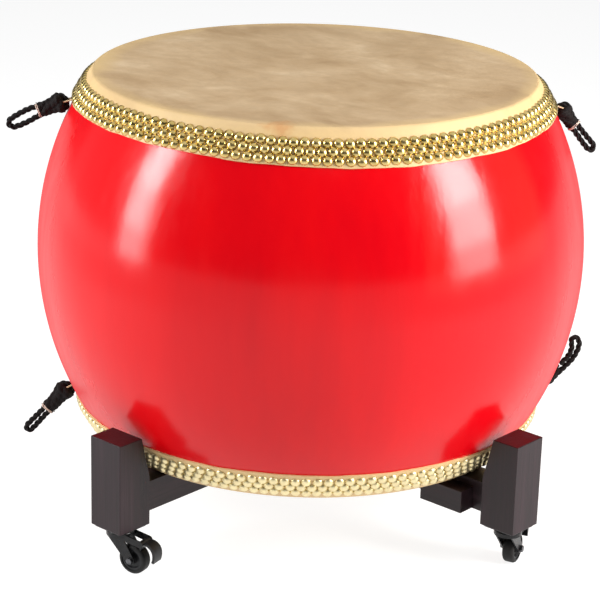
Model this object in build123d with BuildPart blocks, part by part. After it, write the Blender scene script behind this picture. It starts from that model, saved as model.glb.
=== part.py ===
from build123d import *
import math
import os

os.makedirs("parts", exist_ok=True)

# A large barrel drum with a nailed hide head at each end, four rope handles, and a wooden cross stand on
# four braked swivel casters. The origin is on the floor under the drum's axis. The stand's arms lie along
# X and Y, with the front post at -Y, the right post at +X, the back post at +Y and the left post at -X.

# Stand
caster_height = 78
post_width = 67
post_depth = 66
post_height = 153.5
post_outer_face = 477.5
post_slant_start = 82
post_slant_run = 17.5
post_chamfer = 0.75
beam_width = 49
beam_height = 51
beam_rise = 18
tenon_length = 40
tenon_width = 24
tenon_height = 31
cleat_length = 84
cleat_width = 31
cleat_height = 38
cleat_end_gap = 24
cleat_chamfer = 0.5
bolt_radius = 5
bolt_head_radius = 10
bolt_head_height = 5
bolt_recess = 7
bolt_washer_gap = 0.1

# Drum
belly_radius = 460
end_radius = 366
drum_height = 606
hide = 2.5
wall = 24
stave_count = 24
drum_clearance = 0.5
head_edge_round = 7
hem_height = 249.8

# Tacks
tacks_per_row = 142
tack_rows = 3
tack_radius = 8.3
tack_dome = 6.2
tack_rim = 0.9
tack_row_pitch = 13.9
top_first_row = 10
bottom_first_row = 17
shank_radius = 1.2
shank_length = 18

# Rope handles
rope_diameter = 9
ear_width = 24
ear_round = 2.4
ear_reach = 21.5
ear_root = 3
ear_slit_at = 12
ear_slit_length = 14
ear_slit_width = 10
ear_inset = 0.4
whipping_start = 14
whipping_length = 35
whipping_across = 25
whipping_through = 19
whipping_round = 4

# Casters, drawn with the swivel axis on Z and the wheel trailing towards +X
wheel_radius = 25.4
tyre_inner = 19
tyre_half_width = 10
tyre_round = 5
hub_half_width = 11.5
hub_boss = 7
hub_rim = 15.5
hub_rim_half_width = 8.5
hub_web_half_width = 5
hub_web_slope = 1.5
trail = 28
axle_radius = 3
axle_fit = 0.05
axle_hex_radius = 5.6
axle_head_height = 4
axle_nut_height = 5
axle_thread_past_fork = 6
axle_under_head = 2
leg_inner = 12
leg_thickness = 2.5
leg_eye_radius = 8
leg_root_at = (-4, 65)
leg_root_size = (28, 6)
plate_size = 60
plate_thickness = 2.5
plate_corner = 5
raceway_radius = 21
raceway_height = 4
crown_radius = 23
crown_bottom = 62
crown_top = 71
crown_round = 3
kingpin_radius = 4
kingpin_head_radius = 7
kingpin_head_height = 4
kingpin_gap = 0.3
brake_pivot = (47, 58)
brake_eye_radius = 5.5
brake_arm_root_at = (8, 64)
brake_arm_root_size = (18, 8)
brake_pin_radius = 2.5
brake_boss = 5
brake_half_width = 11
pad_reach = 11.9
pad_lean = 22
pad_tip_radius = 0.2
pedal_top_points = ((60, 60), (70.5, 53), (73.5, 40), (71, 29))
pedal_under_points = ((59, 56), (66.5, 50), (69, 40), (67, 30.5))
screw_place = 22.5
screw_radius = 2.2
screw_head_radius = 4.3
screw_head_height = 2
screw_length = 22

post_bottom = caster_height
post_top = post_bottom + post_height
beam_bottom = post_bottom + beam_rise
beam_top = beam_bottom + beam_height
beam_middle = beam_bottom + beam_height / 2
post_inner_face = post_outer_face - post_depth
drum_bottom = beam_top + drum_clearance
drum_centre = drum_bottom + drum_height / 2
shell_half = drum_height / 2 - hide
arc_radius = (shell_half**2 + (belly_radius - end_radius) ** 2) / (2 * (belly_radius - end_radius))
arc_centre = belly_radius - arc_radius

drum_section = Plane(origin=(0, 0, drum_centre), x_dir=(1, 0, 0), z_dir=(0, -1, 0))
arms = {"front": -90, "right": 0, "back": 90, "left": 180}
arm_count = len(arms)


def arc_point(radius, height):
    """The point of a bulging surface, at a height from the drum's middle."""
    return (arc_centre + math.sqrt(radius**2 - height**2), height)


def write(piece, name):
    """Labels a finished piece and writes its file."""
    piece.label = name
    export_step(piece, f"parts/{name}.step")


# Shell: staves glued edge to edge, bent to one arc
inner_arc = arc_radius - wall
with BuildPart() as stave:
    with BuildSketch(drum_section):
        with BuildLine():
            outside = ThreePointArc(
                arc_point(arc_radius, -shell_half),
                (belly_radius, 0),
                arc_point(arc_radius, shell_half),
            )
            inside = ThreePointArc(
                arc_point(inner_arc, -shell_half),
                (belly_radius - wall, 0),
                arc_point(inner_arc, shell_half),
            )
            Line(outside @ 0, inside @ 0)
            Line(outside @ 1, inside @ 1)
        make_face()
    revolve(axis=Axis.Z, revolution_arc=360 / stave_count)
shell_staves = Compound([turn * stave.part for turn in PolarLocations(0, stave_count)])
write(shell_staves, "shell_staves")


# Heads: a hide disc folded down over the shell's end, with an ear for the rope on two sides
hide_arc = arc_radius + hide
hem_outer = arc_point(hide_arc, hem_height)
hem_angle = math.asin(hem_height / hide_arc)
hem_inner = (arc_centre + arc_radius * math.cos(hem_angle), arc_radius * math.sin(hem_angle))
shell_corner = arc_point(arc_radius, shell_half)
hide_corner_height = drum_height / 2
hide_corner = arc_point(hide_arc, hide_corner_height)
hem_middle = arc_point(hide_arc, (hem_height + hide_corner_height) / 2)
fold_middle = arc_point(arc_radius, (hem_inner[1] + shell_half) / 2)

with BuildPart() as hide_cap:
    with BuildSketch(drum_section):
        with BuildLine():
            Line((0, shell_half), (0, hide_corner_height))
            Line((0, hide_corner_height), hide_corner)
            ThreePointArc(hide_corner, hem_middle, hem_outer)
            Line(hem_outer, hem_inner)
            ThreePointArc(hem_inner, fold_middle, shell_corner)
            Line(shell_corner, (0, shell_half))
        make_face()
    revolve(axis=Axis.Z)
    rim_edge = hide_cap.edges().filter_by(GeomType.CIRCLE).sort_by(Axis.Z)[-1]
    fillet(rim_edge, head_edge_round)


def radial_plane(azimuth, radius, height, elevation):
    """A plane through the drum's axis: x points outwards at an elevation, and y upwards."""
    turn = math.radians(azimuth)
    lift = math.radians(elevation)
    outwards = (math.cos(turn) * math.cos(lift), math.sin(turn) * math.cos(lift), math.sin(lift))
    return Plane(
        origin=(radius * math.cos(turn), radius * math.sin(turn), height),
        x_dir=outwards,
        z_dir=(math.sin(turn), -math.cos(turn), 0),
    )


# Each handle: the azimuth of its ear, whether it is on the top head, how the ear and the rope are tilted,
# and the rope's route in the ear's radial plane. Routes start at the slit of the ear, with x along the
# handle and y across it. The rope's two ends meet inside the whipping, on the upper leg.
handles = {
    "top_left": {
        "azimuth": 225.4,
        "on_top": True,
        "ear_tilt": -15,
        "tilt": -23,
        "route": [
            (42, 6.2), (30, 7.2), (19, 9.4), (7.6, 13), (0, 5.4), (0, -5.4), (7.6, -13), (19, -10), (31, -7.5),
            (44, -6.6), (58, -8.2), (72, -10.4), (86, -12), (98, -14), (107, -14), (113, -8), (110.5, 0),
            (101, 3.6), (88, 5.4), (74, 6.6), (60, 7.2), (50, 6.6), (44, 6.5),
        ],
    },
    "top_right": {
        "azimuth": 45.4,
        "on_top": True,
        "ear_tilt": -20,
        "tilt": -50,
        "route": [
            (42, 5.6), (30, 7), (19, 9.8), (7.6, 13.8), (0, 6), (0, -4.8), (9.8, -5.6), (19, -7.4), (31, -6.4),
            (44, -5), (58, -5.4), (72, -6.6), (85, -8.6), (96, -9.8), (104, -5.6), (104, 2.4),
            (98, 7.8), (86, 7.6), (72, 6), (60, 5.2), (50, 5.4), (44, 5.2),
        ],
    },
    "bottom_left": {
        "azimuth": 225.4,
        "on_top": False,
        "ear_tilt": -30,
        "tilt": -48,
        "route": [
            (42, 5.8), (30, 7.2), (19, 9.4), (7.6, 13), (0, 5.4), (0, -5.4), (7.6, -13), (19, -10), (31, -7),
            (44, -5.6), (58, -5), (72, -5.4), (86, -6.6), (98, -8.2), (108, -8), (113.6, -3),
            (112.5, 4.6), (104, 7.6), (91, 6), (78, 5.2), (64, 5), (52, 5.5), (44, 5.6),
        ],
    },
    "bottom_right": {
        "azimuth": 45.4,
        "on_top": False,
        "ear_tilt": 22,
        "tilt": 38,
        "route": [
            (42, 5.6), (30, 6.6), (19, 7.1), (9.8, 7), (0, 5.8), (0, -5.4), (7.6, -13), (19, -10), (31, -7.4),
            (44, -5.2), (58, -4), (71, -1), (83, 4.6), (93, 12.6), (97, 23), (92, 31),
            (84, 29), (81, 20), (72, 12), (61, 7), (51, 5.6), (44, 5.5),
        ],
    },
}
ear_level = hem_height + ear_inset


def ear_plane(handle, elevation):
    """The radial plane at the ear's slit."""
    side = 1 if handle["on_top"] else -1
    lift = math.radians(handle["ear_tilt"])
    radius = arc_point(hide_arc, ear_level)[0] - hide / 2 + ear_slit_at * math.cos(lift)
    height = drum_centre + side * ear_level + ear_slit_at * math.sin(lift)
    return radial_plane(handle["azimuth"], radius, height, elevation)


# The space of the shell and what it encloses, which the ears' roots stay out of
with BuildPart() as shell_form:
    with BuildSketch(drum_section):
        with BuildLine():
            swell = ThreePointArc(
                arc_point(arc_radius, -shell_half),
                (belly_radius, 0),
                arc_point(arc_radius, shell_half),
            )
            Line(swell @ 0, (0, -shell_half))
            Line((0, -shell_half), (0, shell_half))
            Line((0, shell_half), swell @ 1)
        make_face()
    revolve(axis=Axis.Z)


def head_with_ears(cap, on_top):
    """The hide cap of one end with its two ears, each slit for the rope and lying against the shell."""
    with BuildPart() as head:
        add(cap)
        for handle in handles.values():
            if handle["on_top"] != on_top:
                continue
            section = ear_plane(handle, handle["ear_tilt"])
            flap = Plane(origin=section.origin, x_dir=section.x_dir, z_dir=section.y_dir)
            with BuildSketch(flap.offset(-hide / 2)):
                with Locations(((ear_reach - ear_slit_at - ear_root - ear_slit_at) / 2, 0)):
                    RectangleRounded(ear_reach + ear_root, ear_width, ear_round)
            extrude(amount=hide)
            with BuildSketch(flap.offset(-hide)):
                SlotOverall(ear_slit_length, ear_slit_width)
            extrude(amount=2 * hide, mode=Mode.SUBTRACT)
        add(shell_form.part, mode=Mode.SUBTRACT)
    return head


top_head = head_with_ears(hide_cap.part, True)
write(top_head.part, "top_head")

with BuildPart() as lower_cap:
    add(hide_cap.part)
    mirror(about=Plane.XY.offset(drum_centre), mode=Mode.REPLACE)
bottom_head = head_with_ears(lower_cap.part, False)
write(bottom_head.part, "bottom_head")


# Tacks: domed heads on round shanks, three staggered rows at each end
dome_rise = tack_dome - tack_rim
dome_sphere = (tack_radius**2 + dome_rise**2) / (2 * dome_rise)
dome_angle = math.asin(tack_radius / dome_sphere) / 2
dome_middle = (
    dome_sphere * math.sin(dome_angle),
    tack_dome - dome_sphere + dome_sphere * math.cos(dome_angle),
)
with BuildPart() as tack:
    with BuildSketch(Plane.XZ):
        with BuildLine():
            Line((0, tack_dome), (0, -shank_length))
            Line((0, -shank_length), (shank_radius, -shank_length))
            Line((shank_radius, -shank_length), (shank_radius, 0))
            Line((shank_radius, 0), (tack_radius, 0))
            Line((tack_radius, 0), (tack_radius, tack_rim))
            ThreePointArc((tack_radius, tack_rim), dome_middle, (0, tack_dome))
        make_face()
    revolve(axis=Axis.Z)


def tack_rows_at(first_row, side):
    """The tacks of one end: side is 1 at the top and -1 at the bottom."""
    places = []
    for row in range(tack_rows):
        elevation = hem_angle + (first_row + row * tack_row_pitch) / hide_arc
        radius = arc_centre + hide_arc * math.cos(elevation)
        height = drum_centre + side * hide_arc * math.sin(elevation)
        for index in range(tacks_per_row):
            turn = math.radians((index + 0.5 * (row % 2)) * 360 / tacks_per_row)
            normal = (
                math.cos(turn) * math.cos(elevation),
                math.sin(turn) * math.cos(elevation),
                side * math.sin(elevation),
            )
            origin = (radius * math.cos(turn), radius * math.sin(turn), height)
            places.append(Plane(origin=origin, z_dir=normal).location)
    return Compound([place * tack.part for place in places])


top_tacks = tack_rows_at(top_first_row, 1)
bottom_tacks = tack_rows_at(bottom_first_row, -1)
write(top_tacks, "top_tacks")
write(bottom_tacks, "bottom_tacks")


# Rope handles: a loop through each ear, bound by a whipping
def corner_radii(points):
    """The largest arc at each corner of a route: 0.45 of the shorter run over the tangent of half the turn."""
    radii = []
    for before, corner, after in zip(points, points[1:], points[2:]):
        run_in = Vector(*corner) - Vector(*before)
        run_out = Vector(*after) - Vector(*corner)
        half_turn = math.radians(run_in.get_angle(run_out)) / 2
        radii.append(0.45 * min(run_in.length, run_out.length) / math.tan(half_turn))
    return radii


for name, handle in handles.items():
    section = ear_plane(handle, handle["tilt"])
    route = handle["route"]
    radii = corner_radii(route)
    with BuildPart() as rope:
        with BuildLine(section) as rope_line:
            path = FilletPolyline(*route, radius=radii)
        with BuildSketch(Plane(origin=path @ 0, z_dir=path % 0)):
            Circle(rope_diameter / 2)
        sweep(path=path)
    rope_volume = path.length * math.pi * rope_diameter**2 / 4
    print(name, "rope length", round(path.length), "volume share", round(rope.part.volume / rope_volume, 4))
    print(name, "corner radii", [round(radius, 1) for radius in radii])
    write(rope.part, f"rope_handle_{name}")

    binding = Plane(origin=section.origin, x_dir=section.z_dir, z_dir=section.x_dir)
    with BuildPart() as whipping:
        with BuildSketch(binding.offset(whipping_start)):
            Ellipse(whipping_through / 2, whipping_across / 2)
        extrude(amount=whipping_length)
        fillet(whipping.edges(), whipping_round)
    write(whipping.part, f"rope_whipping_{name}")


# Stand: four posts with a slanted upper inner face, and two beams half-lapped at the centre
for name, turn in arms.items():
    with BuildPart() as post:
        with BuildSketch(Plane.XZ.offset(-post_width / 2)):
            with BuildLine():
                Polyline(
                    (post_inner_face, post_bottom),
                    (post_outer_face, post_bottom),
                    (post_outer_face, post_top),
                    (post_inner_face + post_slant_run, post_top),
                    (post_inner_face, post_bottom + post_slant_start),
                    close=True,
                )
            make_face()
        extrude(amount=post_width)
        chamfer(post.edges(), post_chamfer)
        with Locations((post_inner_face + tenon_length / 2, 0, beam_middle)):
            Box(tenon_length, tenon_width, tenon_height, mode=Mode.SUBTRACT)
    with BuildPart() as placed_post:
        with Locations(Rotation(0, 0, turn)):
            add(post.part)
    write(placed_post.part, f"post_{name}")

for name, turn, notch_side in (("x", 0, 1), ("y", 90, -1)):
    with BuildPart() as beam:
        with Locations((0, 0, beam_middle)):
            Box(2 * post_inner_face, beam_width, beam_height)
            Box(2 * (post_inner_face + tenon_length), tenon_width, tenon_height)
        with Locations((0, 0, beam_middle + notch_side * beam_height / 4)):
            Box(beam_width, beam_width, beam_height / 2, mode=Mode.SUBTRACT)
        with Locations((0, 0, beam_middle)):
            Cylinder(bolt_radius, beam_height, mode=Mode.SUBTRACT)
        recess_middle = beam_middle - notch_side * (beam_height - bolt_recess) / 2
        with Locations((0, 0, recess_middle)):
            Cylinder(bolt_head_radius, bolt_recess, mode=Mode.SUBTRACT)
    with BuildPart() as placed_beam:
        with Locations(Rotation(0, 0, turn)):
            add(beam.part)
    write(placed_beam.part, f"beam_{name}")

bolt_head_bottom = beam_top - bolt_recess
nut_top = beam_bottom + bolt_recess
with BuildPart() as centre_bolt:
    with BuildSketch(Plane.XY.offset(bolt_head_bottom)):
        Circle(bolt_head_radius - bolt_washer_gap)
    extrude(amount=bolt_head_height)
    fillet(centre_bolt.edges().group_by(Axis.Z)[-1], bolt_head_height / 2)
    with BuildSketch(Plane.XY.offset(beam_bottom + bolt_washer_gap)):
        Circle(bolt_radius)
    extrude(amount=bolt_head_bottom - beam_bottom)
write(centre_bolt.part, "centre_bolt")

with BuildPart() as centre_nut:
    with BuildSketch(Plane.XY.offset(nut_top - bolt_head_height)):
        RegularPolygon(bolt_head_radius - bolt_washer_gap, 6)
        Circle(bolt_radius, mode=Mode.SUBTRACT)
    extrude(amount=bolt_head_height)
write(centre_nut.part, "centre_nut")

# Cleats: a short block on the same side of each arm
cleat_outer_end = post_inner_face - cleat_end_gap
for name, turn in arms.items():
    with BuildPart() as cleat:
        with Locations(
            (
                cleat_outer_end - cleat_length / 2,
                -(beam_width + cleat_width) / 2,
                beam_bottom + cleat_height / 2,
            )
        ):
            Box(cleat_length, cleat_width, cleat_height)
        chamfer(cleat.edges(), cleat_chamfer)
    with BuildPart() as placed_cleat:
        with Locations(Rotation(0, 0, turn)):
            add(cleat.part)
    write(placed_cleat.part, f"cleat_{name}")


# Casters
with BuildPart() as plate:
    with BuildSketch(Plane.XY.offset(caster_height - plate_thickness)):
        RectangleRounded(plate_size, plate_size, plate_corner)
    extrude(amount=plate_thickness)
    with BuildSketch(Plane.XY.offset(caster_height - plate_thickness - raceway_height)):
        Circle(raceway_radius)
    extrude(amount=raceway_height)
    with BuildSketch(Plane.XY.offset(caster_height)):
        Circle(kingpin_radius)
        with GridLocations(2 * screw_place, 2 * screw_place, 2, 2):
            Circle(screw_radius)
    extrude(amount=-plate_thickness - raceway_height, mode=Mode.SUBTRACT)

with BuildPart() as kingpin:
    with BuildSketch(Plane.XY.offset(crown_bottom - kingpin_gap)):
        Circle(kingpin_radius)
    extrude(amount=caster_height - crown_bottom + kingpin_gap)
    with BuildSketch(Plane.XY.offset(crown_bottom - kingpin_gap)):
        Circle(kingpin_head_radius)
    extrude(amount=-kingpin_head_height)
    fillet(kingpin.edges().group_by(Axis.Z)[0], kingpin_head_height / 2)

with BuildPart() as fork:
    with BuildSketch(Plane.XY.offset(crown_bottom)):
        Circle(crown_radius)
    extrude(amount=crown_top - crown_bottom)
    fillet(fork.edges().group_by(Axis.Z)[-1], crown_round)
    with BuildSketch(Plane.XZ.offset(leg_inner)):
        with Locations((trail, wheel_radius)):
            Circle(leg_eye_radius)
        with Locations(leg_root_at):
            Rectangle(*leg_root_size)
        make_hull()
    extrude(amount=leg_thickness)
    with BuildSketch(Plane.XZ.offset(leg_inner)):
        with Locations(brake_pivot):
            Circle(brake_eye_radius)
        with Locations(brake_arm_root_at):
            Rectangle(*brake_arm_root_size)
        make_hull()
    extrude(amount=leg_thickness)
    mirror(about=Plane.XZ)
    with BuildSketch(Plane.XZ.offset(-leg_inner - leg_thickness)):
        with Locations((trail, wheel_radius)):
            Circle(axle_radius + axle_fit)
        with Locations(brake_pivot):
            Circle(brake_pin_radius + axle_fit)
    extrude(amount=2 * (leg_inner + leg_thickness), mode=Mode.SUBTRACT)
    with BuildSketch(Plane.XY.offset(crown_bottom)):
        Circle(kingpin_radius + axle_fit)
    extrude(amount=crown_top - crown_bottom, mode=Mode.SUBTRACT)

axle_plane = Plane(origin=(trail, 0, wheel_radius), x_dir=(1, 0, 0), z_dir=(0, -1, 0))
axle_half = leg_inner + leg_thickness
with BuildPart() as axle:
    with BuildSketch(axle_plane.offset(-axle_half - axle_thread_past_fork)):
        Circle(axle_radius)
    extrude(amount=2 * axle_half + axle_thread_past_fork + axle_under_head)
    with BuildSketch(axle_plane.offset(axle_half)):
        RegularPolygon(axle_hex_radius, 6)
    extrude(amount=axle_head_height)
    with BuildSketch(axle_plane.offset(-axle_half)):
        RegularPolygon(axle_hex_radius, 6)
    extrude(amount=-axle_nut_height)

spin = Axis((trail, 0, wheel_radius), (0, 1, 0))
wheel_section = Plane(origin=(trail, 0, wheel_radius), x_dir=(0, 1, 0), z_dir=(1, 0, 0))
with BuildPart() as hub:
    with BuildSketch(wheel_section):
        with BuildLine():
            Polyline(
                (-hub_half_width, axle_radius + axle_fit),
                (-hub_half_width, hub_boss),
                (-hub_web_half_width, hub_boss + hub_web_slope),
                (-hub_web_half_width, hub_rim - hub_web_slope),
                (-hub_rim_half_width, hub_rim),
                (-hub_rim_half_width, tyre_inner),
                (hub_rim_half_width, tyre_inner),
                (hub_rim_half_width, hub_rim),
                (hub_web_half_width, hub_rim - hub_web_slope),
                (hub_web_half_width, hub_boss + hub_web_slope),
                (hub_half_width, hub_boss),
                (hub_half_width, axle_radius + axle_fit),
                close=True,
            )
        make_face()
    revolve(axis=spin)

with BuildPart() as tyre:
    with BuildSketch(wheel_section):
        with Locations((0, (tyre_inner + wheel_radius) / 2)):
            Rectangle(2 * tyre_half_width, wheel_radius - tyre_inner)
    revolve(axis=spin)
    tread = tyre.faces().filter_by(GeomType.CYLINDER).sort_by(SortBy.AREA)[-1]
    fillet(tread.edges().filter_by(GeomType.CIRCLE), tyre_round)

pad_angle = math.atan2(wheel_radius - brake_pivot[1], trail - brake_pivot[0]) + math.radians(pad_lean)
pad_tip = (
    brake_pivot[0] + pad_reach * math.cos(pad_angle),
    brake_pivot[1] + pad_reach * math.sin(pad_angle),
)
with BuildPart() as brake:
    with BuildSketch(Plane.XZ.offset(-brake_half_width)):
        with Locations(brake_pivot):
            Circle(brake_boss)
        with Locations(pad_tip):
            Circle(pad_tip_radius)
        make_hull()
    extrude(amount=2 * brake_half_width)
    with BuildSketch(Plane.XZ.offset(-brake_half_width)):
        with BuildLine():
            pedal_top = Spline(brake_pivot, *pedal_top_points)
            pedal_under = Spline(brake_pivot, *pedal_under_points)
            Line(pedal_top @ 1, pedal_under @ 1)
        make_face()
    extrude(amount=2 * brake_half_width)
    with BuildSketch(Plane.XZ.offset(-leg_inner - leg_thickness)):
        with Locations(brake_pivot):
            Circle(brake_pin_radius)
    extrude(amount=2 * (leg_inner + leg_thickness))

caster_pieces = {
    "plate": plate,
    "kingpin": kingpin,
    "fork": fork,
    "axle": axle,
    "hub": hub,
    "tyre": tyre,
    "brake": brake,
}
trail_directions = {"front": 11.5, "right": 106.5, "back": 205, "left": 290}
caster_radius = post_outer_face - post_depth / 2
for name, turn in arms.items():
    swivel_x = caster_radius * math.cos(math.radians(turn))
    swivel_y = caster_radius * math.sin(math.radians(turn))
    for piece_name, piece in caster_pieces.items():
        facing = turn if piece_name == "plate" else trail_directions[name]
        with BuildPart() as placed:
            with Locations(Location((swivel_x, swivel_y, 0), (0, 0, facing))):
                add(piece.part)
        write(placed.part, f"caster_{name}_{piece_name}")

with BuildPart() as screw:
    with BuildSketch(Plane.XY.offset(caster_height - plate_thickness - screw_head_height)):
        Circle(screw_head_radius)
    extrude(amount=screw_head_height)
    fillet(screw.edges().group_by(Axis.Z)[0], screw_head_height / 2)
    with BuildSketch(Plane.XY.offset(caster_height - plate_thickness)):
        Circle(screw_radius)
    extrude(amount=screw_length)

with BuildPart() as caster_screws:
    with PolarLocations(caster_radius, arm_count):
        with GridLocations(2 * screw_place, 2 * screw_place, 2, 2):
            add(screw.part)
write(caster_screws.part, "caster_screws")
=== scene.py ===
import math

import bpy
import numpy as np
from mathutils import Matrix, Vector


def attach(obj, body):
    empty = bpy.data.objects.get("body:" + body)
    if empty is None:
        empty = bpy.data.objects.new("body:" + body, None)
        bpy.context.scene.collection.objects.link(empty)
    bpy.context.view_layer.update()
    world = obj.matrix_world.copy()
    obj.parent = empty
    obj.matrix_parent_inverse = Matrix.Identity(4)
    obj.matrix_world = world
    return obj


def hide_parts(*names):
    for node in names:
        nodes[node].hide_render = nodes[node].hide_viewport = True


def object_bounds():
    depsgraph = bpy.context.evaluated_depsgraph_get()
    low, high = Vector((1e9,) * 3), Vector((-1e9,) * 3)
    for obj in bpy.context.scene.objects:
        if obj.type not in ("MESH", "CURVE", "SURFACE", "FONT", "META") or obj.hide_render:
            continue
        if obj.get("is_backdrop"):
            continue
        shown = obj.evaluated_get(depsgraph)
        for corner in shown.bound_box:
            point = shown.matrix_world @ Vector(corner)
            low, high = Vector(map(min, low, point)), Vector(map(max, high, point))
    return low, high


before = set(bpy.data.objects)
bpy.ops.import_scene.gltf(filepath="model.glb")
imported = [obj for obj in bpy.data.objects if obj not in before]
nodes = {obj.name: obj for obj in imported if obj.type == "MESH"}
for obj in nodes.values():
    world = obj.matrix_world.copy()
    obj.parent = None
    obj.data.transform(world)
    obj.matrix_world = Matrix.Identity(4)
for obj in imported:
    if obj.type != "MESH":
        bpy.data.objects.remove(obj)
cad_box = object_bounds()
scene = bpy.context.scene
rng = np.random.default_rng(7)

# Sizes of the drum, in metres, as in the CAD
BELLY = 0.46  # radius at the middle of the shell
END = 0.366  # radius at the shell's ends
HEIGHT = 0.606
HIDE = 0.0025  # thickness
WALL = 0.024
DRUM_Z = 0.4505  # height of the drum's middle above the floor
HEM = 0.2498  # distance of the hem from the drum's middle
EDGE_ROUND = 0.007
STAIN_AT = (0.199, -0.307, 0.7535)  # brown spot on the rim
HEM_HIGH_AT = math.radians(-93)  # where the top hem was trimmed closest to the edge
TACKS = 142  # in a row
TACK_ROWS = 3
TACK_R = 0.0083
TACK_DOME = 0.0062  # height
TACK_RIM = 0.0009  # height of the upright edge
ROW_PITCH = 0.0139
FIRST_ROW = {1: 0.010, -1: 0.017}  # distance of the first row from the hem, top and bottom
ROPE = 0.009  # diameter
EAR_AT = 0.012  # distance of the slit from the shell
HALF = HEIGHT / 2 - HIDE
ARC = (HALF**2 + (BELLY - END) ** 2) / (2 * (BELLY - END))
ARC_X = BELLY - ARC
HIDE_ARC = ARC + HIDE
EAR_LEVEL = HEM + 0.0004


def arc_x(radius, height):
    """Distance from the axis of a bulging surface, at a height from the drum's middle."""
    return ARC_X + math.sqrt(radius**2 - height**2)


# ---------------------------------------------------------------- camera, light and floor
HEADING = math.radians(41.42)
PITCH = math.radians(19.31)
ROLL = math.radians(1.579)
CAMERA_AT = (2.3127, -2.6445, 1.5818)
LENS_MM = 130.44
SENSOR_MM = 36
right0 = Vector((math.cos(HEADING), math.sin(HEADING), 0))
ahead0 = Vector((-math.sin(HEADING), math.cos(HEADING), 0))
forward = (ahead0 * math.cos(PITCH) + Vector((0, 0, -math.sin(PITCH)))).normalized()
up0 = right0.cross(forward)
right = right0 * math.cos(ROLL) + up0 * math.sin(ROLL)
up = up0 * math.cos(ROLL) - right0 * math.sin(ROLL)
lens = bpy.data.cameras.new("camera")
lens.lens = LENS_MM
lens.sensor_width = SENSOR_MM
lens.clip_end = 100
camera = bpy.data.objects.new("camera", lens)
scene.collection.objects.link(camera)
rows = Matrix((right, up, -forward)).transposed().to_4x4()
camera.matrix_world = Matrix.Translation(CAMERA_AT) @ rows
scene.camera = camera

scene.view_settings.view_transform = "Standard"
scene.view_settings.look = "None"

world = bpy.data.worlds.new("studio")
world.use_nodes = True
background = world.node_tree.nodes["Background"]
background.inputs["Color"].default_value = (0.9, 0.95, 1.0, 1)
background.inputs["Strength"].default_value = 0.09
scene.world = world


def softbox(name, side, distance, bottom, top, width, radiance, colour=(1, 1, 1)):
    """A standing light panel that faces the drum, at an angle to the right of the direction to the camera."""
    turn = math.radians(side)
    away = right0 * math.sin(turn) - ahead0 * math.cos(turn)
    place = away * distance + Vector((0, 0, (bottom + top) / 2))
    lamp = bpy.data.lights.new(name, "AREA")
    lamp.shape = "RECTANGLE"
    lamp.size = width
    lamp.size_y = top - bottom
    lamp.energy = radiance * math.pi * width * (top - bottom)
    lamp.color = colour
    holder = bpy.data.objects.new(name, lamp)
    scene.collection.objects.link(holder)
    facing = (-away).to_track_quat("-Z", "Y").to_matrix().to_4x4()
    holder.matrix_world = Matrix.Translation(place) @ facing


# Each main light is a stack of three panels that gets brighter towards its top
PANELS = ((0.40, 0.75, 0.32), (0.75, 1.25, 0.62), (1.25, 2.15, 1.0))  # bottom, top and share of the brightness
for level, (low, high, share) in enumerate(PANELS):
    softbox(f"left_box_{level}", -71, 2.3, low, high, 0.5, 30 * share)
    softbox(f"right_box_{level}", 63.5, 2.3, low, high, 0.78, 29 * share)
softbox("left_wall", -95, 3.4, 0.1, 2.4, 3.4, 0.35)
softbox("right_wall", 75, 3.2, 0.1, 2.4, 3.6, 0.8, (1.0, 0.72, 0.34))
OVERHEAD_SIZE = 5.0
OVERHEAD_RADIANCE = 0.85
over = bpy.data.lights.new("overhead", "AREA")
over.shape = "RECTANGLE"
over.size = OVERHEAD_SIZE
over.size_y = OVERHEAD_SIZE
over.energy = OVERHEAD_RADIANCE * math.pi * OVERHEAD_SIZE * OVERHEAD_SIZE
overhead = bpy.data.objects.new("overhead", over)
scene.collection.objects.link(overhead)
overhead.location = (0.1, 0.3, 3.2)


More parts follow.
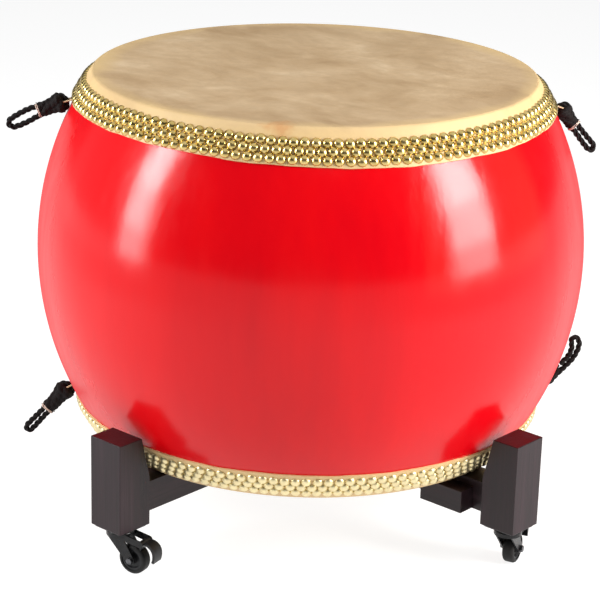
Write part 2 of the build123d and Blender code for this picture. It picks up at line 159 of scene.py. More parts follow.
# ---------------------------------------------------------------- materials
class Nodes:
    """Short names for building a material's nodes."""

    def __init__(self, name):
        self.material = bpy.data.materials.new(name)
        self.material.use_nodes = True
        self.tree = self.material.node_tree
        self.shader = self.tree.nodes["Principled BSDF"]

    def set(self, **values):
        for key, value in values.items():
            self.shader.inputs[key.replace("_", " ")].default_value = value

    def link(self, a, b):
        self.tree.links.new(a, b)

    def coords(self, scale=(1, 1, 1), kind="Object"):
        place = self.tree.nodes.new("ShaderNodeTexCoord")
        mapping = self.tree.nodes.new("ShaderNodeMapping")
        mapping.inputs["Scale"].default_value = scale
        self.link(place.outputs[kind], mapping.inputs["Vector"])
        return mapping.outputs["Vector"]

    def noise(self, vector, scale, detail=4.0, rough=0.55, distortion=0.0):
        tex = self.tree.nodes.new("ShaderNodeTexNoise")
        tex.inputs["Scale"].default_value = scale
        tex.inputs["Detail"].default_value = detail
        tex.inputs["Roughness"].default_value = rough
        tex.inputs["Distortion"].default_value = distortion
        self.link(vector, tex.inputs["Vector"])
        return tex.outputs["Fac"]

    def ramp(self, value, *stops):
        tex = self.tree.nodes.new("ShaderNodeValToRGB")
        bar = tex.color_ramp
        while len(bar.elements) < len(stops):
            bar.elements.new(0.5)
        for element, (place, colour) in zip(bar.elements, stops):
            element.position = place
            element.color = (*colour, 1)
        self.link(value, tex.inputs["Fac"])
        return tex.outputs["Color"]

    def grey(self, value, low, high, start=0.0, end=1.0):
        tex = self.tree.nodes.new("ShaderNodeMapRange")
        tex.inputs["From Min"].default_value = start
        tex.inputs["From Max"].default_value = end
        tex.inputs["To Min"].default_value = low
        tex.inputs["To Max"].default_value = high
        self.link(value, tex.inputs["Value"])
        return tex.outputs["Result"]

    def math(self, kind, a, b=None):
        tex = self.tree.nodes.new("ShaderNodeMath")
        tex.operation = kind
        for socket, value in zip(tex.inputs, (a, b)):
            if isinstance(value, (int, float)):
                socket.default_value = value
            elif value is not None:
                self.link(value, socket)
        return tex.outputs["Value"]

    def mix(self, factor, a, b):
        tex = self.tree.nodes.new("ShaderNodeMix")
        tex.data_type = "RGBA"
        for name, value in (("Factor", factor), ("A", a), ("B", b)):
            wanted = "VALUE" if name == "Factor" else "RGBA"
            socket = next(s for s in tex.inputs if s.name == name and s.type == wanted)
            if isinstance(value, (int, float)):
                socket.default_value = value
            elif isinstance(value, tuple):
                socket.default_value = (*value, 1)
            else:
                self.link(value, socket)
        return next(s for s in tex.outputs if s.type == "RGBA")

    def bump(self, height, distance, strength=1.0, after=None):
        tex = self.tree.nodes.new("ShaderNodeBump")
        tex.inputs["Strength"].default_value = strength
        tex.inputs["Distance"].default_value = distance
        self.link(height, tex.inputs["Height"])
        if after is not None:
            self.link(after, tex.inputs["Normal"])
        return tex.outputs["Normal"]

    def finish(self, colour=None, roughness=None, normal=None):
        for value, name in ((colour, "Base Color"), (roughness, "Roughness"), (normal, "Normal")):
            if value is not None:
                self.link(value, self.shader.inputs[name])
        return self.material


def red_lacquer():
    m = Nodes("red_lacquer")
    m.set(IOR=1.36)
    streaks = m.noise(m.coords((9, 9, 1.1)), 1.0, 5, 0.6)
    cloud = m.noise(m.coords(), 3.2, 3, 0.5)
    tone = m.ramp(
        streaks,
        (0.32, (0.54, 0.0002, 0.0045)),
        (0.5, (0.59, 0.0004, 0.0045)),
        (0.68, (0.64, 0.001, 0.004)),
    )
    colour = m.mix(m.grey(cloud, 0.0, 0.35, 0.35, 0.7), tone, (0.66, 0.0015, 0.003))
    dust = m.noise(m.coords((60, 60, 12)), 1.0, 3, 0.6)
    gloss = m.grey(m.math("MULTIPLY", dust, streaks), 0.13, 0.22, 0.1, 0.45)
    edge = m.tree.nodes.new("ShaderNodeLayerWeight")
    edge.inputs["Blend"].default_value = 0.5
    roughness = m.math("ADD", gloss, m.grey(m.math("POWER", edge.outputs["Facing"], 4.0), 0.0, 0.5))
    wave = m.bump(m.noise(m.coords((7, 7, 2.0)), 1.0, 2, 0.4), 0.010, 0.22)
    brush = m.bump(m.noise(m.coords((34, 34, 3.0)), 1.0, 4, 0.6), 0.0016, 0.22, wave)
    peel = m.bump(m.noise(m.coords(), 240, 2, 0.5), 0.0002, 0.25, brush)
    return m.finish(colour, roughness, peel)


def rawhide(name, on_rim=True):
    m = Nodes(name)
    m.set(IOR=1.45)
    coords = m.coords()
    big = m.noise(coords, 5.2, 6, 0.62, 0.6)
    streak = m.noise(m.coords((6, 11, 6)), 1.0, 6, 0.65, 0.5)
    fine = m.noise(coords, 60, 5, 0.6)
    both = m.math("ADD", m.math("MULTIPLY", big, 0.55), m.math("MULTIPLY", streak, 0.45))
    tone = m.ramp(
        both,
        (0.34, (0.37, 0.235, 0.115)),
        (0.45, (0.47, 0.32, 0.175)),
        (0.55, (0.56, 0.40, 0.235)),
        (0.66, (0.68, 0.52, 0.335)),
    )
    tone = m.mix(m.grey(fine, 0.0, 0.35, 0.4, 0.75), tone, (0.40, 0.28, 0.16))
    if on_rim:
        split = m.tree.nodes.new("ShaderNodeSeparateXYZ")
        m.link(coords, split.inputs["Vector"])
        square = m.math("ADD", m.math("POWER", split.outputs["X"], 2.0), m.math("POWER", split.outputs["Y"], 2.0))
        radius = m.math("SQRT", square)
        wobble = m.math("ADD", radius, m.grey(big, -0.018, 0.018, 0.3, 0.7))
        rim = m.grey(wobble, 0.0, 1.0, 0.335, 0.372)
        tone = m.mix(rim, tone, (0.64, 0.45, 0.215))
        stain = m.tree.nodes.new("ShaderNodeVectorMath")
        stain.operation = "DISTANCE"
        stain.inputs[1].default_value = STAIN_AT
        m.link(coords, stain.inputs[0])
        ragged = m.math("ADD", stain.outputs["Value"], m.grey(m.noise(coords, 45, 4, 0.6), -0.012, 0.012, 0.3, 0.7))
        tone = m.mix(m.grey(ragged, 0.62, 0.0, 0.006, 0.026), tone, (0.52, 0.23, 0.07))
    veins = m.noise(coords, 18, 8, 0.7, 1.2)
    normal = m.bump(veins, 0.0012, 0.35)
    normal = m.bump(fine, 0.0005, 0.3, normal)
    return m.finish(tone, m.grey(veins, 0.42, 0.62, 0.3, 0.7), normal)


def metal(name, low, high, rough_low, rough_high, scale):
    m = Nodes(name)
    m.set(Metallic=1.0)
    coords = m.coords()
    spots = m.noise(coords, scale, 4, 0.6)
    colour = m.ramp(spots, (0.36, low), (0.64, high))
    normal = m.bump(m.noise(coords, scale * 5, 3, 0.6), 0.0002, 0.3)
    return m.finish(colour, m.grey(spots, rough_low, rough_high, 0.3, 0.7), normal)


def stand_wood(name, along):
    """Dark stained wood with its grain along one axis."""
    m = Nodes(name)
    m.set(IOR=1.38)
    stretch = [46, 46, 46]
    stretch[along] = 2.2
    grain = m.noise(m.coords(tuple(stretch)), 1.0, 7, 0.65, 0.35)
    fine = [260, 260, 260]
    fine[along] = 9
    pores = m.noise(m.coords(tuple(fine)), 1.0, 3, 0.5)
    tone = m.ramp(
        grain,
        (0.34, (0.010, 0.0045, 0.0055)),
        (0.52, (0.018, 0.008, 0.0105)),
        (0.70, (0.030, 0.0145, 0.019)),
    )
    tone = m.mix(m.grey(pores, 0.0, 0.55, 0.52, 0.72), tone, (0.010, 0.006, 0.0065))
    normal = m.bump(pores, 0.0005, 0.35, m.bump(grain, 0.0008, 0.25))
    return m.finish(tone, m.grey(grain, 0.26, 0.42, 0.3, 0.7), normal)


def plastic(name, low, high, rough_low, rough_high, scale=300, depth=0.0002):
    m = Nodes(name)
    m.set(Specular_IOR_Level=0.3)
    coords = m.coords()
    spots = m.noise(coords, scale / 6, 4, 0.6)
    colour = m.ramp(spots, (0.35, low), (0.65, high))
    normal = m.bump(m.noise(coords, scale, 3, 0.6), depth, 0.35)
    return m.finish(colour, m.grey(spots, rough_low, rough_high, 0.3, 0.7), normal)


def rope_fibre(name, low, high, along_scale, round_scale):
    """Twisted yarn: fine threads that follow the rope's own length and girth coordinates."""
    m = Nodes(name)
    m.set(Sheen_Weight=0.02, Sheen_Roughness=0.5, Specular_IOR_Level=0.18)
    threads = m.noise(m.coords((along_scale, round_scale, 1), "UV"), 1.0, 5, 0.65)
    lint = m.noise(m.coords(), 900, 3, 0.6)
    colour = m.ramp(m.math("MULTIPLY", threads, m.grey(lint, 0.7, 1.25, 0.3, 0.7)), (0.3, low), (0.68, high))
    normal = m.bump(threads, 0.0012, 0.9)
    return m.finish(colour, m.grey(lint, 0.6, 0.9, 0.3, 0.7), normal)


def pale_floor():
    m = Nodes("pale_floor")
    m.set(Base_Color=(0.3, 0.3, 0.3, 1), Roughness=0.7, Emission_Color=(1, 1, 1, 1), Emission_Strength=0.86)
    m.set(Specular_IOR_Level=0.0)
    return m.material


RED = red_lacquer()
HIDE_SKIN = rawhide("rawhide")
HIDE_EAR = rawhide("rawhide_ear", False)
# Paler brass for the bottom tacks: its lighter colour is a painted reflection of the white floor below them.
BRASS_PAINTED_FLOOR_REFLECTION = metal("brass_painted_floor_reflection", (0.72, 0.61, 0.35), (0.84, 0.73, 0.43), 0.36, 0.46, 70)
BRASS = metal("brass", (0.54, 0.395, 0.13), (0.70, 0.535, 0.22), 0.2, 0.32, 70)
ROPE_BLACK = rope_fibre("black_rope", (0.001, 0.0009, 0.0009), (0.011, 0.008, 0.008), 60, 9)
WRAP_BLACK = rope_fibre("black_whipping", (0.001, 0.0009, 0.0009), (0.013, 0.008, 0.008), 22, 26)
TIE = rope_fibre("tie_twine", (0.42, 0.30, 0.24), (0.80, 0.64, 0.55), 40, 9)
WOOD = {axis: stand_wood(f"stand_wood_{axis}", i) for i, axis in enumerate("xyz")}
BLACK_STEEL = plastic("black_steel", (0.004, 0.004, 0.0045), (0.011, 0.011, 0.012), 0.24, 0.36, 700, 0.0001)
AXLE_STEEL = metal("axle_steel", (0.07, 0.07, 0.075), (0.16, 0.16, 0.17), 0.3, 0.46, 160)
ZINC = metal("zinc_steel", (0.42, 0.43, 0.44), (0.66, 0.67, 0.68), 0.24, 0.4, 160)
WHEEL_PLASTIC = plastic("wheel_plastic", (0.010, 0.010, 0.011), (0.026, 0.026, 0.028), 0.34, 0.5)
RUBBER = plastic("wheel_rubber", (0.004, 0.004, 0.004), (0.011, 0.0105, 0.010), 0.5, 0.72, 500, 0.0004)
BRAKE_PLASTIC = plastic("brake_plastic", (0.004, 0.004, 0.0045), (0.010, 0.010, 0.011), 0.28, 0.42)


def dress(node, material):
    """Gives a CAD node its finished material."""
    slots = nodes[node].data.materials
    if len(slots):
        for i in range(len(slots)):
            slots[i] = material
    else:
        slots.append(material)


for name in nodes:
    if name.startswith("post_"):
        dress(name, WOOD["z"])
    elif name == "beam_x" or name in ("cleat_left", "cleat_right"):
        dress(name, WOOD["x"])
    elif name == "beam_y" or name in ("cleat_front", "cleat_back"):
        dress(name, WOOD["y"])
    elif name in ("centre_bolt", "centre_nut", "caster_screws"):
        dress(name, ZINC)
    elif name.endswith("_axle"):
        dress(name, AXLE_STEEL)
    elif name.endswith(("_fork", "_plate", "_kingpin")):
        dress(name, BLACK_STEEL)
    elif name.endswith("_hub"):
        dress(name, WHEEL_PLASTIC)
    elif name.endswith("_tyre"):
        dress(name, RUBBER)
    elif name.endswith("_brake"):
        dress(name, BRAKE_PLASTIC)
    elif name == "shell_staves":
        dress(name, RED)
    elif name.endswith("_head"):
        dress(name, HIDE_SKIN)
    elif name.endswith("_tacks"):
        dress(name, BRASS)


# ---------------------------------------------------------------- mesh helpers
def piece(name, points, faces, material, body, slot, replaces=(), uv=None):
    """A smooth mesh piece in the row frame that rides on a body."""
    mesh = bpy.data.meshes.new(name)
    mesh.from_pydata([tuple(map(float, p)) for p in points], [], [tuple(map(int, f)) for f in faces])
    mesh.materials.append(material)
    mesh.polygons.foreach_set("use_smooth", [True] * len(mesh.polygons))
    if uv is not None:
        layer = mesh.uv_layers.new(name="along")
        corners = np.empty(len(mesh.loops), np.int32)
        mesh.loops.foreach_get("vertex_index", corners)
        layer.data.foreach_set("uv", np.asarray(uv, np.float32)[corners].ravel())
    mesh.update()
    made = bpy.data.objects.new(name, mesh)
    scene.collection.objects.link(made)
    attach(made, body)
    if replaces:
        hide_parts(*replaces)
    return made


def sharpen(made, degrees):
    """Keeps the hard corners of a smooth piece hard."""
    made.data.set_sharp_from_angle(angle=math.radians(degrees))


def ring_faces(rings, segments, closed_along=False):
    """Quads between neighbouring rings of points."""
    faces = []
    last = rings if closed_along else rings - 1
    for i in range(last):
        a, b = i * segments, ((i + 1) % rings) * segments
        for j in range(segments):
            k = (j + 1) % segments
            faces.append((a + j, a + k, b + k, b + j))
    return faces


def turned(profile, segments):
    """Points of a profile of (radius, height) turned about the drum's axis."""
    turns = np.linspace(0, 2 * math.pi, segments, endpoint=False)
    points = []
    for radius, height in profile:
        for t in turns:
            points.append((radius * math.cos(t), radius * math.sin(t), height))
    return points


# ---------------------------------------------------------------- rope handles, which come first
# Angles are in degrees. "bound" is the length of the whipping, "width" its share of the full thickness, and "route"
# holds distances out along the handle and across it, from the slit of its ear.
HANDLES = {
    "top_left": {
        "azimuth": 225.4, "side": 1, "ear_tilt": -15, "tilt": -20.5,
        "length": 0.240, "bound": 0.0445, "width": 1.0,
        "route": [
            (.042, .0064), (.030, .0074), (.019, .0094), (.0076, .013), (0, .0054), (0, -.0054), (.0076, -.013),
            (.019, -.010), (.031, -.0076), (.043, -.007), (.056, -.009), (.068, -.0114), (.080, -.0126),
            (.090, -.013), (.098, -.0126), (.1036, -.0066), (.101, .001), (.092, .0036), (.081, .0058),
            (.070, .0074), (.059, .0082), (.050, .0074), (.044, .0066),
        ],
    },
    "top_right": {
        "azimuth": 45.4, "side": 1, "ear_tilt": -20, "tilt": -50,
        "length": 0.220, "bound": 0.039, "width": 0.92,
        "route": [
            (.042, .0056), (.030, .007), (.019, .0098), (.0076, .0138), (0, .006), (0, -.0048), (.0098, -.0056),
            (.019, -.0074), (.031, -.0064), (.044, -.005), (.056, -.0052), (.067, -.0058), (.077, -.0062),
            (.087, -.0062), (.095, -.0046), (.0965, .002), (.089, .0062), (.078, .0056), (.066, .0052),
            (.057, .005), (.050, .0052), (.044, .0052),
        ],
    },
    "bottom_left": {
        "azimuth": 225.4, "side": -1, "ear_tilt": -30, "tilt": -48,
        "length": 0.249, "bound": 0.0535, "width": 1.0,
        "route": [
            (.042, .0058), (.030, .0072), (.019, .0094), (.0076, .013), (0, .0054), (0, -.0054), (.0076, -.013),
            (.019, -.010), (.031, -.007), (.044, -.0056), (.058, -.005), (.072, -.0051), (.086, -.0054),
            (.098, -.0058), (.108, -.0054), (.1116, -.0006), (.108, .0054), (.098, .0056), (.085, .0052),
            (.072, .005), (.062, .0051), (.052, .0055), (.044, .0055),
        ],
    },
    "bottom_right": {
        "azimuth": 45.4, "side": -1, "ear_tilt": 22, "tilt": 38,
        "length": 0.228, "bound": 0.035, "width": 0.82, "tied": False,
        "route": [
            (.042, .0056), (.030, .0066), (.019, .0071), (.0098, .007), (0, .0058), (0, -.0054), (.0076, -.013),
            (.019, -.010), (.031, -.0074), (.044, -.0052), (.058, -.0032), (.071, .0002), (.083, .0066),
            (.0925, .0142), (.096, .024), (.0915, .0315), (.084, .029), (.080, .019), (.071, .0110), (.061, .0064),
            (.051, .0052), (.044, .0053),
        ],
    },
}


def ear_frame(handle, elevation):
    """Slit centre, direction outwards at an elevation, direction upwards across it, and sideways."""
    turn = math.radians(handle["azimuth"])
    tilt = math.radians(handle["ear_tilt"])
    lift = math.radians(elevation)
    radius = arc_x(HIDE_ARC, EAR_LEVEL) - HIDE / 2 + EAR_AT * math.cos(tilt)
    height = DRUM_Z + handle["side"] * EAR_LEVEL + EAR_AT * math.sin(tilt)
    origin = Vector((radius * math.cos(turn), radius * math.sin(turn), height))
    out = Vector((math.cos(turn) * math.cos(lift), math.sin(turn) * math.cos(lift), math.sin(lift)))
    side = Vector((math.sin(turn), -math.cos(turn), 0))
    return origin, out, side.cross(out), side


def route_line(name, points):
    """The smooth line of a route, read from its NURBS spline."""
    curve = bpy.data.curves.new(name, "CURVE")
    curve.dimensions = "3D"
    curve.resolution_u = 24
    spline = curve.splines.new("NURBS")
    spline.points.add(len(points) - 1)
    for control, p in zip(spline.points, points):
        control.co = (*p, 1)
    spline.order_u = 3
    spline.use_endpoint_u = True
    holder = bpy.data.objects.new(name, curve)
    mesh = bpy.data.meshes.new_from_object(holder)
    line = np.array([v.co for v in mesh.vertices], float).reshape(-1, 3)
    bpy.data.meshes.remove(mesh)
    bpy.data.objects.remove(holder)
    bpy.data.curves.remove(curve)
    return line


def spaced(line, step):
    """The line again, with points a step apart."""
    along = np.concatenate([[0], np.cumsum(np.linalg.norm(np.diff(line, axis=0), axis=1))])
    at = np.linspace(0, along[-1], int(along[-1] / step) + 2)
    return np.stack([np.interp(at, along, line[:, k]) for k in range(3)], axis=1), along[-1]


def carried_frames(line, first):
    """Two directions across the line at each point, turned as little as possible."""
    ahead = np.gradient(line, axis=0)
    ahead /= np.linalg.norm(ahead, axis=1)[:, None]
    across = []
    current = np.array(first, float)
    for t in ahead:
        current = current - t * current.dot(t)
        current /= np.linalg.norm(current)
        across.append(current)
    across = np.array(across)
    return across, np.cross(ahead, across)


def laid_tube(line, first, outline, lay, loose=0.0):
    """A tube whose outline turns along the line. outline gives the radius at an angle, lay the length of a turn."""
    u, v = carried_frames(line, first)
    segments = 36
    angles = np.linspace(0, 2 * math.pi, segments, endpoint=False)
    step = np.linalg.norm(line[1] - line[0])
    points, uv = [], []
    for i, centre in enumerate(line):
        travel = i * step
        swell = 1 + loose * math.sin(travel * 210) * math.sin(travel * 77 + 1)
        for a in angles:
            r = outline(a) * swell
            turn = a + 2 * math.pi * travel / lay
            points.append(centre + r * (u[i] * math.cos(turn) + v[i] * math.sin(turn)))
            uv.append((travel * 10, a / (2 * math.pi) + travel * 40))
    faces = ring_faces(len(line), segments)
    for end, ring in ((line[0], 0), (line[-1], len(line) - 1)):
        points.append(end)
        uv.append((0, 0))
        tip = len(points) - 1
        for j in range(segments):
            k = (j + 1) % segments
            a, b = ring * segments + j, ring * segments + k
            faces.append((tip, b, a) if ring == 0 else (tip, a, b))
    return points, faces, uv


SWOLLEN = 1.14  # share of the rope's diameter that its three strands reach
WHIP_START = 0.0035
WHIP_STRANDS = 5
WHIP_ACROSS, WHIP_THROUGH = 0.0136, 0.0104  # half thickness of the whipping
KNOT_ACROSS, KNOT_THROUGH = 0.0034, 0.0030  # what the knot adds
FRAYS = 22
TIE_ACROSS, TIE_THROUGH, TIE_THICK = 0.0110, 0.0076, 0.0011
TIE_WANDER, TIE_TURNS = 0.0019, 2
STRAND = SWOLLEN * ROPE / 2 / (1 + 2 / math.sqrt(3))
STRAND_AT = 2 * STRAND / math.sqrt(3)


def three_strands(angle):
    """Outline of a rope of three strands laid together."""
    third = 2 * math.pi / 3
    a = (angle + third / 2) % third - third / 2
    inside = max(STRAND**2 - (STRAND_AT * math.sin(a)) ** 2, 0)
    return max(STRAND_AT * math.cos(a) + math.sqrt(inside), 0.55 * ROPE / 2)


def joined(parts):
    """Several point, face and coordinate lists as one."""
    points, faces, uv = [], [], []
    for p, f, t in parts:
        base = len(points)
        points += list(p)
        uv += list(t)
        faces += [tuple(i + base for i in face) for face in f]
    return points, faces, uv


def small_tube(points, radius, taper=1.0, segments=8):
    """A thin round tube through a few points, with an end that may taper."""
    line = np.array(points, float)
    u, v = carried_frames(line, (0.31, 0.47, 0.83))
    out, uv = [], []
    for i, centre in enumerate(line):
        r = radius * (1 + (taper - 1) * i / (len(line) - 1))
        for j in range(segments):
            a = 2 * math.pi * j / segments
            out.append(centre + r * (u[i] * math.cos(a) + v[i] * math.sin(a)))
            uv.append((i * 0.02, j / segments))
    faces = ring_faces(len(line), segments)
    faces.append(tuple(range(segments))[::-1])
    faces.append(tuple(range((len(line) - 1) * segments, len(line) * segments)))
    return out, faces, uv


def whipping(handle, place):
    """The bound part of a handle: strands twisted round both legs, with a knot at the ear and frayed ends."""
    segments, rings = 96, 64
    start, length, width = WHIP_START, handle["bound"], handle["width"]
    points, uv = [], []
    for i in range(rings):
        s = i / (rings - 1)
        ease = math.sin(math.pi / 2 * min(1, s / 0.12)) ** 0.5
        ease *= math.sin(math.pi / 2 * min(1, (1 - s) / 0.05)) ** 0.4
        ease = max(ease, 0.2)
        knot = math.exp(-(((s - 0.2) / 0.17) ** 2))
        taper = 1 - 0.16 * s
        for j in range(segments):
            a = 2 * math.pi * j / segments
            twist = a + 2.5 * s + 0.25 * math.sin(7 * s)
            ridge = 0.86 + 0.20 * abs(math.cos(WHIP_STRANDS * twist / 2)) ** 0.7
            lump = 1 + 0.07 * math.sin(3 * a + 21 * s) * math.sin(2 * a - 13 * s)
            lump += 0.03 * math.sin(31 * twist - 60 * s)
            swell = ease * ridge * lump
            y = (WHIP_ACROSS * taper + KNOT_ACROSS * knot) * width * math.cos(a) * swell
            z = (WHIP_THROUGH * taper + KNOT_THROUGH * knot) * width * math.sin(a) * swell
            points.append(place(start + length * s, y, z))
            uv.append((s * 0.4, twist / (2 * math.pi)))
    faces = ring_faces(rings, segments)
    faces.append(tuple(range(segments))[::-1])
    faces.append(tuple(range((rings - 1) * segments, rings * segments)))
    parts = [(points, faces, uv)]
    for sign in (-1, 1):
        path = ((0.016, 0.0095), (0.0115, 0.0066), (0.0078, 0.0058), (0.0044, 0.0058))
        fill = [place(x, sign * y) for x, y in path]
        parts.append(small_tube(fill, 0.0034, 0.85, 12))
    for k in range(FRAYS):
        a = 2 * math.pi * (k + rng.uniform(-0.3, 0.3)) / FRAYS
        x = start + length * rng.uniform(0.84, 0.97)
        y, z = 0.0098 * width * math.cos(a), 0.0072 * width * math.sin(a)
        reach = rng.uniform(0.003, 0.007)
        spread = rng.uniform(1.1, 1.55)
        tip = place(x + reach, y * spread, z * spread)
        middle = place(x + reach * 0.5, y * (1 + spread) / 2 * 1.04, z * (1 + spread) / 2 * 1.04)
        parts.append(small_tube([place(x - 0.004, y, z), middle, tip], 0.0008, 0.35, 6))
    return joined(parts)


def oval_band(place, x):
    """Twine wound round the handle a few times."""
    line = []
    steps = 26
    for i in range(TIE_TURNS * steps + 1):
        a = 2 * math.pi * i / steps
        drift = TIE_WANDER * (i / steps - TIE_TURNS / 2) + 0.0005 * math.sin(3.3 * a)
        line.append(place(x + drift, TIE_ACROSS * math.cos(a), TIE_THROUGH * math.sin(a)))
    return small_tube(line, TIE_THICK)


for key, handle in HANDLES.items():
    origin, out, across, side = ear_frame(handle, handle["tilt"])

    def place(x, y, z=0.0):
        return np.array(origin + out * x + across * y + side * z)

    flat = [tuple(place(x, y)) for x, y in handle["route"]]
    line, run = spaced(route_line(f"route_{key}", flat), 0.0011)
    points, faces, uv = laid_tube(line, tuple(side), three_strands, 0.031, 0.03)
    body = f"handle_{key}"
    rope = piece(f"rope_{key}", points, faces, ROPE_BLACK, body, "black_rope", [f"rope_handle_{key}"], uv)
    points, faces, uv = whipping(handle, place)
    bound = piece(f"whipping_{key}", points, faces, WRAP_BLACK, body, "black_rope", [f"rope_whipping_{key}"], uv)
    if handle.get("tied", True):
        points, faces, uv = oval_band(place, WHIP_START + handle["bound"] + 0.0002)
        piece(f"tie_{key}", points, faces, TIE, body, "black_rope", (), uv)
    [tuple(p) for p in line]
    print("rope", key, "runs", round(run, 4), "of", handle["length"])

# ---------------------------------------------------------------- shell
outer_rings = 112
profile = []
for i in range(outer_rings):
    h = -HALF + 2 * HALF * i / (outer_rings - 1)
    profile.append((arc_x(ARC, h), DRUM_Z + h))
inner_rings = 24
for i in range(inner_rings):
    h = HALF - 2 * HALF * i / (inner_rings - 1)
    profile.append((arc_x(ARC - WALL, h), DRUM_Z + h))
SHELL_TURNS = 288
shell_points = turned(profile, SHELL_TURNS)
shell = piece(
    "shell", shell_points, ring_faces(len(profile), SHELL_TURNS, True), RED, "drum", "red_lacquer", ["shell_staves"]
)
sharpen(shell, 60)

# ---------------------------------------------------------------- heads with their hems and ears
corner = arc_x(HIDE_ARC, HEIGHT / 2)
lean = math.asin(HEIGHT / 2 / HIDE_ARC)
cut = EDGE_ROUND / math.tan((math.pi / 2 + lean) / 2)
round_x, round_z = corner - cut, HEIGHT / 2 - EDGE_ROUND


def hem_shift(turn, side):
    """How much further from the middle of the drum the hem was trimmed, at an angle round it."""
    if side < 0:
        return 0.0026 + 0.0008 * math.cos(2 * turn)
    off = turn - HEM_HIGH_AT
    return 0.002 * math.cos(off) + 0.0025 * math.cos(3 * off)


def head_points(side):
    """Outer skin from the middle to the hem, then back along the inside."""
    flat_radii = (0.04, 0.09, 0.15, 0.21, 0.27, 0.31, 0.34, 0.355)
    skin = [(r, HEIGHT / 2) for r in flat_radii]
    for i in range(9):
        a = math.pi / 2 + (lean - math.pi / 2) * i / 8
        skin.append((round_x + EDGE_ROUND * math.cos(a), round_z + EDGE_ROUND * math.sin(a)))
    first = math.asin((round_z + EDGE_ROUND * math.sin(lean)) / HIDE_ARC)
    last = math.asin(HEM / HIDE_ARC)
    for i in range(1, 15):
        a = first + (last - first) * i / 14
        skin.append((ARC_X + HIDE_ARC * math.cos(a), HIDE_ARC * math.sin(a)))
    back = [(ARC_X + ARC * math.cos(last), ARC * math.sin(last))]
    for i in range(1, 8):
        a = last + (math.asin(HALF / ARC) - last) * i / 7
        back.append((ARC_X + ARC * math.cos(a), ARC * math.sin(a)))
    back.append((0.3, HALF))
    back.append((0.04, HALF))
    turns = np.linspace(0, 2 * math.pi, SHELL_TURNS, endpoint=False)
    waves = [(11, 0.5, 0.3), (17, 0.35, 1.1), (29, 0.3, 2.0), (53, 0.22, 0.7)]
    points = []
    for index, (radius, height) in enumerate(skin + back):
        near_hem = 1.0 if index in (len(skin) - 1, len(skin)) else 0.55 if index == len(skin) - 2 else 0.0
        flat = index < len(flat_radii)
        for t in turns:
            drop = near_hem * 0.0009 * sum(w * math.sin(n * t + s + side) for n, w, s in waves)
            drop -= near_hem * hem_shift(t, side)
            sag = 0.0002 * math.sin(3 * t + radius * 20) * (1 if flat else 0)
            h = height - drop - sag
            r = radius + drop * 0.55
            points.append((r * math.cos(t), r * math.sin(t), DRUM_Z + side * h))
    rings = len(skin) + len(back)
    faces = ring_faces(rings, SHELL_TURNS)
    faces.append(tuple(range(SHELL_TURNS))[::-1])
    faces.append(tuple(range((rings - 1) * SHELL_TURNS, rings * SHELL_TURNS)))
    if side > 0:
        faces = [face[::-1] for face in faces]
    return points, faces


EAR_HALF_LONG, EAR_HALF_WIDE = 0.01185, 0.0098
EAR_MIDDLE = -0.00315  # middle of the ear, out from its slit
EAR_TAPER = 0.14
EAR_CORNER = 0.00072
SLIT_HALF_LONG, SLIT_HALF_WIDE = 0.007, 0.005


def ear_points(handle):
    """A hide tab with a slit, cut from one thickness of hide and slightly cupped."""
    origin, out, across, side = ear_frame(handle, handle["ear_tilt"])
    around = 56
    steps = 5
    points = []
    for level in (-1, 1):
        for k in range(steps):
            f = k / (steps - 1)
            for j in range(around):
                a = 2 * math.pi * j / around
                c, s = math.cos(a), math.sin(a)
                slot = 1 / max(abs(c) / SLIT_HALF_LONG, abs(s) / SLIT_HALF_WIDE)
                slot = min(slot, 0.0062 + 0.0008 * abs(c))
                x_in, y_in = slot * c, slot * s
                px = c / max(abs(c), abs(s))
                py = s / max(abs(c), abs(s))
                x_out = EAR_MIDDLE + EAR_HALF_LONG * px
                y_out = EAR_HALF_WIDE * py * (1 - EAR_TAPER * (1 + px))
                if abs(px) > 0.925 and abs(py) > 0.925:
                    x_out -= math.copysign(EAR_CORNER, px)
                    y_out -= math.copysign(EAR_CORNER, py)
                x = x_in + (x_out - x_in) * f
                y = y_in + (y_out - y_in) * f
                thick = HIDE / 2 * (0.72 if k in (0, steps - 1) else 1.0)
                cup = 9.1 * y * y
                points.append(tuple(origin + out * x + side * y + across * (level * thick + cup)))
    faces = []
    top = steps * around
    for k in range(steps - 1):
        for j in range(around):
            n = (j + 1) % around
            a, b = k * around, (k + 1) * around
            faces.append((a + j, b + j, b + n, a + n))
            faces.append((top + a + j, top + a + n, top + b + n, top + b + j))
    for j in range(around):
        n = (j + 1) % around
        faces.append((j, n, top + n, top + j))
        e = (steps - 1) * around
        faces.append((e + j, top + e + j, top + e + n, e + n))
    return points, faces


for label, side in (("top", 1), ("bottom", -1)):
    points, faces = head_points(side)
    head = piece(f"head_skin_{label}", points, faces, HIDE_SKIN, "drum", "rawhide", [f"{label}_head"])
    sharpen(head, 70)
    for key, handle in HANDLES.items():
        if handle["side"] == side:
            ear = piece(f"ear_{key}", *ear_points(handle), HIDE_EAR, "drum", "rawhide")
            ear.data.validate()


# ---------------------------------------------------------------- tacks
def tack_shape():
    """Rings of a domed tack: under its edge, round the edge, and up the dome."""
    rise = TACK_DOME - TACK_RIM
    ball = (TACK_R**2 + rise**2) / (2 * rise)
    widest = math.asin(TACK_R / ball)
    rings = [(TACK_R * 0.93, -0.0002), (TACK_R, 0.0002), (TACK_R, TACK_RIM)]
    for f in (0.88, 0.74, 0.58, 0.4, 0.22, 0.08):
        a = widest * f
        rings.append((ball * math.sin(a), TACK_DOME - ball + ball * math.cos(a)))
    return rings


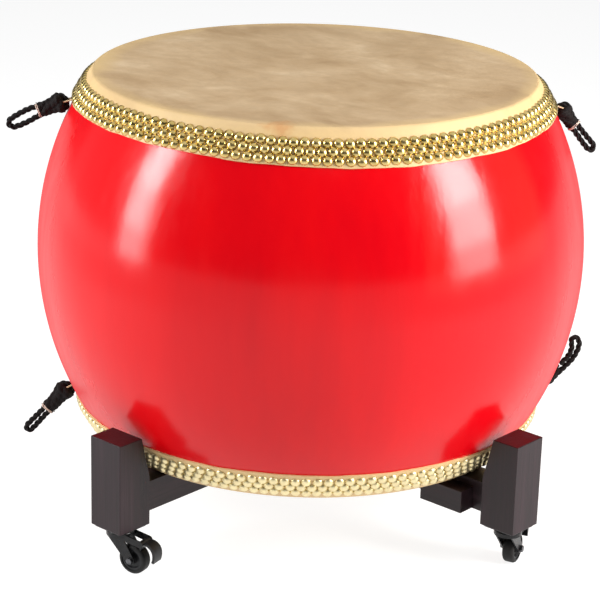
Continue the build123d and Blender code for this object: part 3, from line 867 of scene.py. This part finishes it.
def tack_row_points(side):
    rings = tack_shape()
    segments = 16
    turns = np.linspace(0, 2 * math.pi, segments, endpoint=False)
    base = np.array([(r * math.cos(t), r * math.sin(t), z) for r, z in rings for t in turns])
    base_faces = ring_faces(len(rings), segments)
    base_faces.append(tuple(range((len(rings) - 1) * segments, len(rings) * segments)))
    points, faces = [], []
    start = math.asin(HEM / HIDE_ARC)
    for row in range(TACK_ROWS):
        elevation = start + (FIRST_ROW[side] + row * ROW_PITCH) / HIDE_ARC
        for index in range(TACKS):
            turn = (index + 0.5 * (row % 2)) * 2 * math.pi / TACKS + rng.normal(0, 0.0006)
            shift = 0.7 * hem_shift(turn, side) if side > 0 else 0.0
            tip = elevation + shift / HIDE_ARC + rng.normal(0, 0.0006)
            lean_a, lean_b = rng.normal(0, 0.035, 2)
            level = math.cos(tip)
            normal = Vector((math.cos(turn) * level, math.sin(turn) * level, side * math.sin(tip)))
            tangent = Vector((-math.sin(turn), math.cos(turn), 0))
            upward = normal.cross(tangent)
            axis = (normal + tangent * lean_a + upward * lean_b).normalized()
            u = (tangent - axis * tangent.dot(axis)).normalized()
            v = axis.cross(u)
            radius = ARC_X + HIDE_ARC * math.cos(tip)
            height = DRUM_Z + side * HIDE_ARC * math.sin(tip)
            centre = np.array((radius * math.cos(turn), radius * math.sin(turn), height))
            size = 1 + rng.normal(0, 0.008)
            m = np.array([u, v, axis])
            first = len(points)
            points += list(centre + (base * size) @ m)
            faces += [tuple(i + first for i in face) for face in base_faces]
    return points, faces


for label, side in (("top", 1), ("bottom", -1)):
    points, faces = tack_row_points(side)
    # The bottom tacks get the paler brass, a painted reflection of the floor they face.
    brass = BRASS if side > 0 else BRASS_PAINTED_FLOOR_REFLECTION
    tacks = piece(f"tack_heads_{label}", points, faces, brass, "drum", "brass", [f"{label}_tacks"])
    sharpen(tacks, 50)

# ---------------------------------------------------------------- floor
FLOOR = 20  # half its side
floor_mesh = bpy.data.meshes.new("floor")
corners = [(-FLOOR, -FLOOR, 0), (FLOOR, -FLOOR, 0), (FLOOR, FLOOR, 0), (-FLOOR, FLOOR, 0)]
floor_mesh.from_pydata(corners, [], [(0, 1, 2, 3)])
floor_mesh.materials.append(pale_floor())
floor = bpy.data.objects.new("floor", floor_mesh)
scene.collection.objects.link(floor)
floor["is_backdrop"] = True

box_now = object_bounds()
[[list(corner_point) for corner_point in b] for b in (cad_box, box_now)]
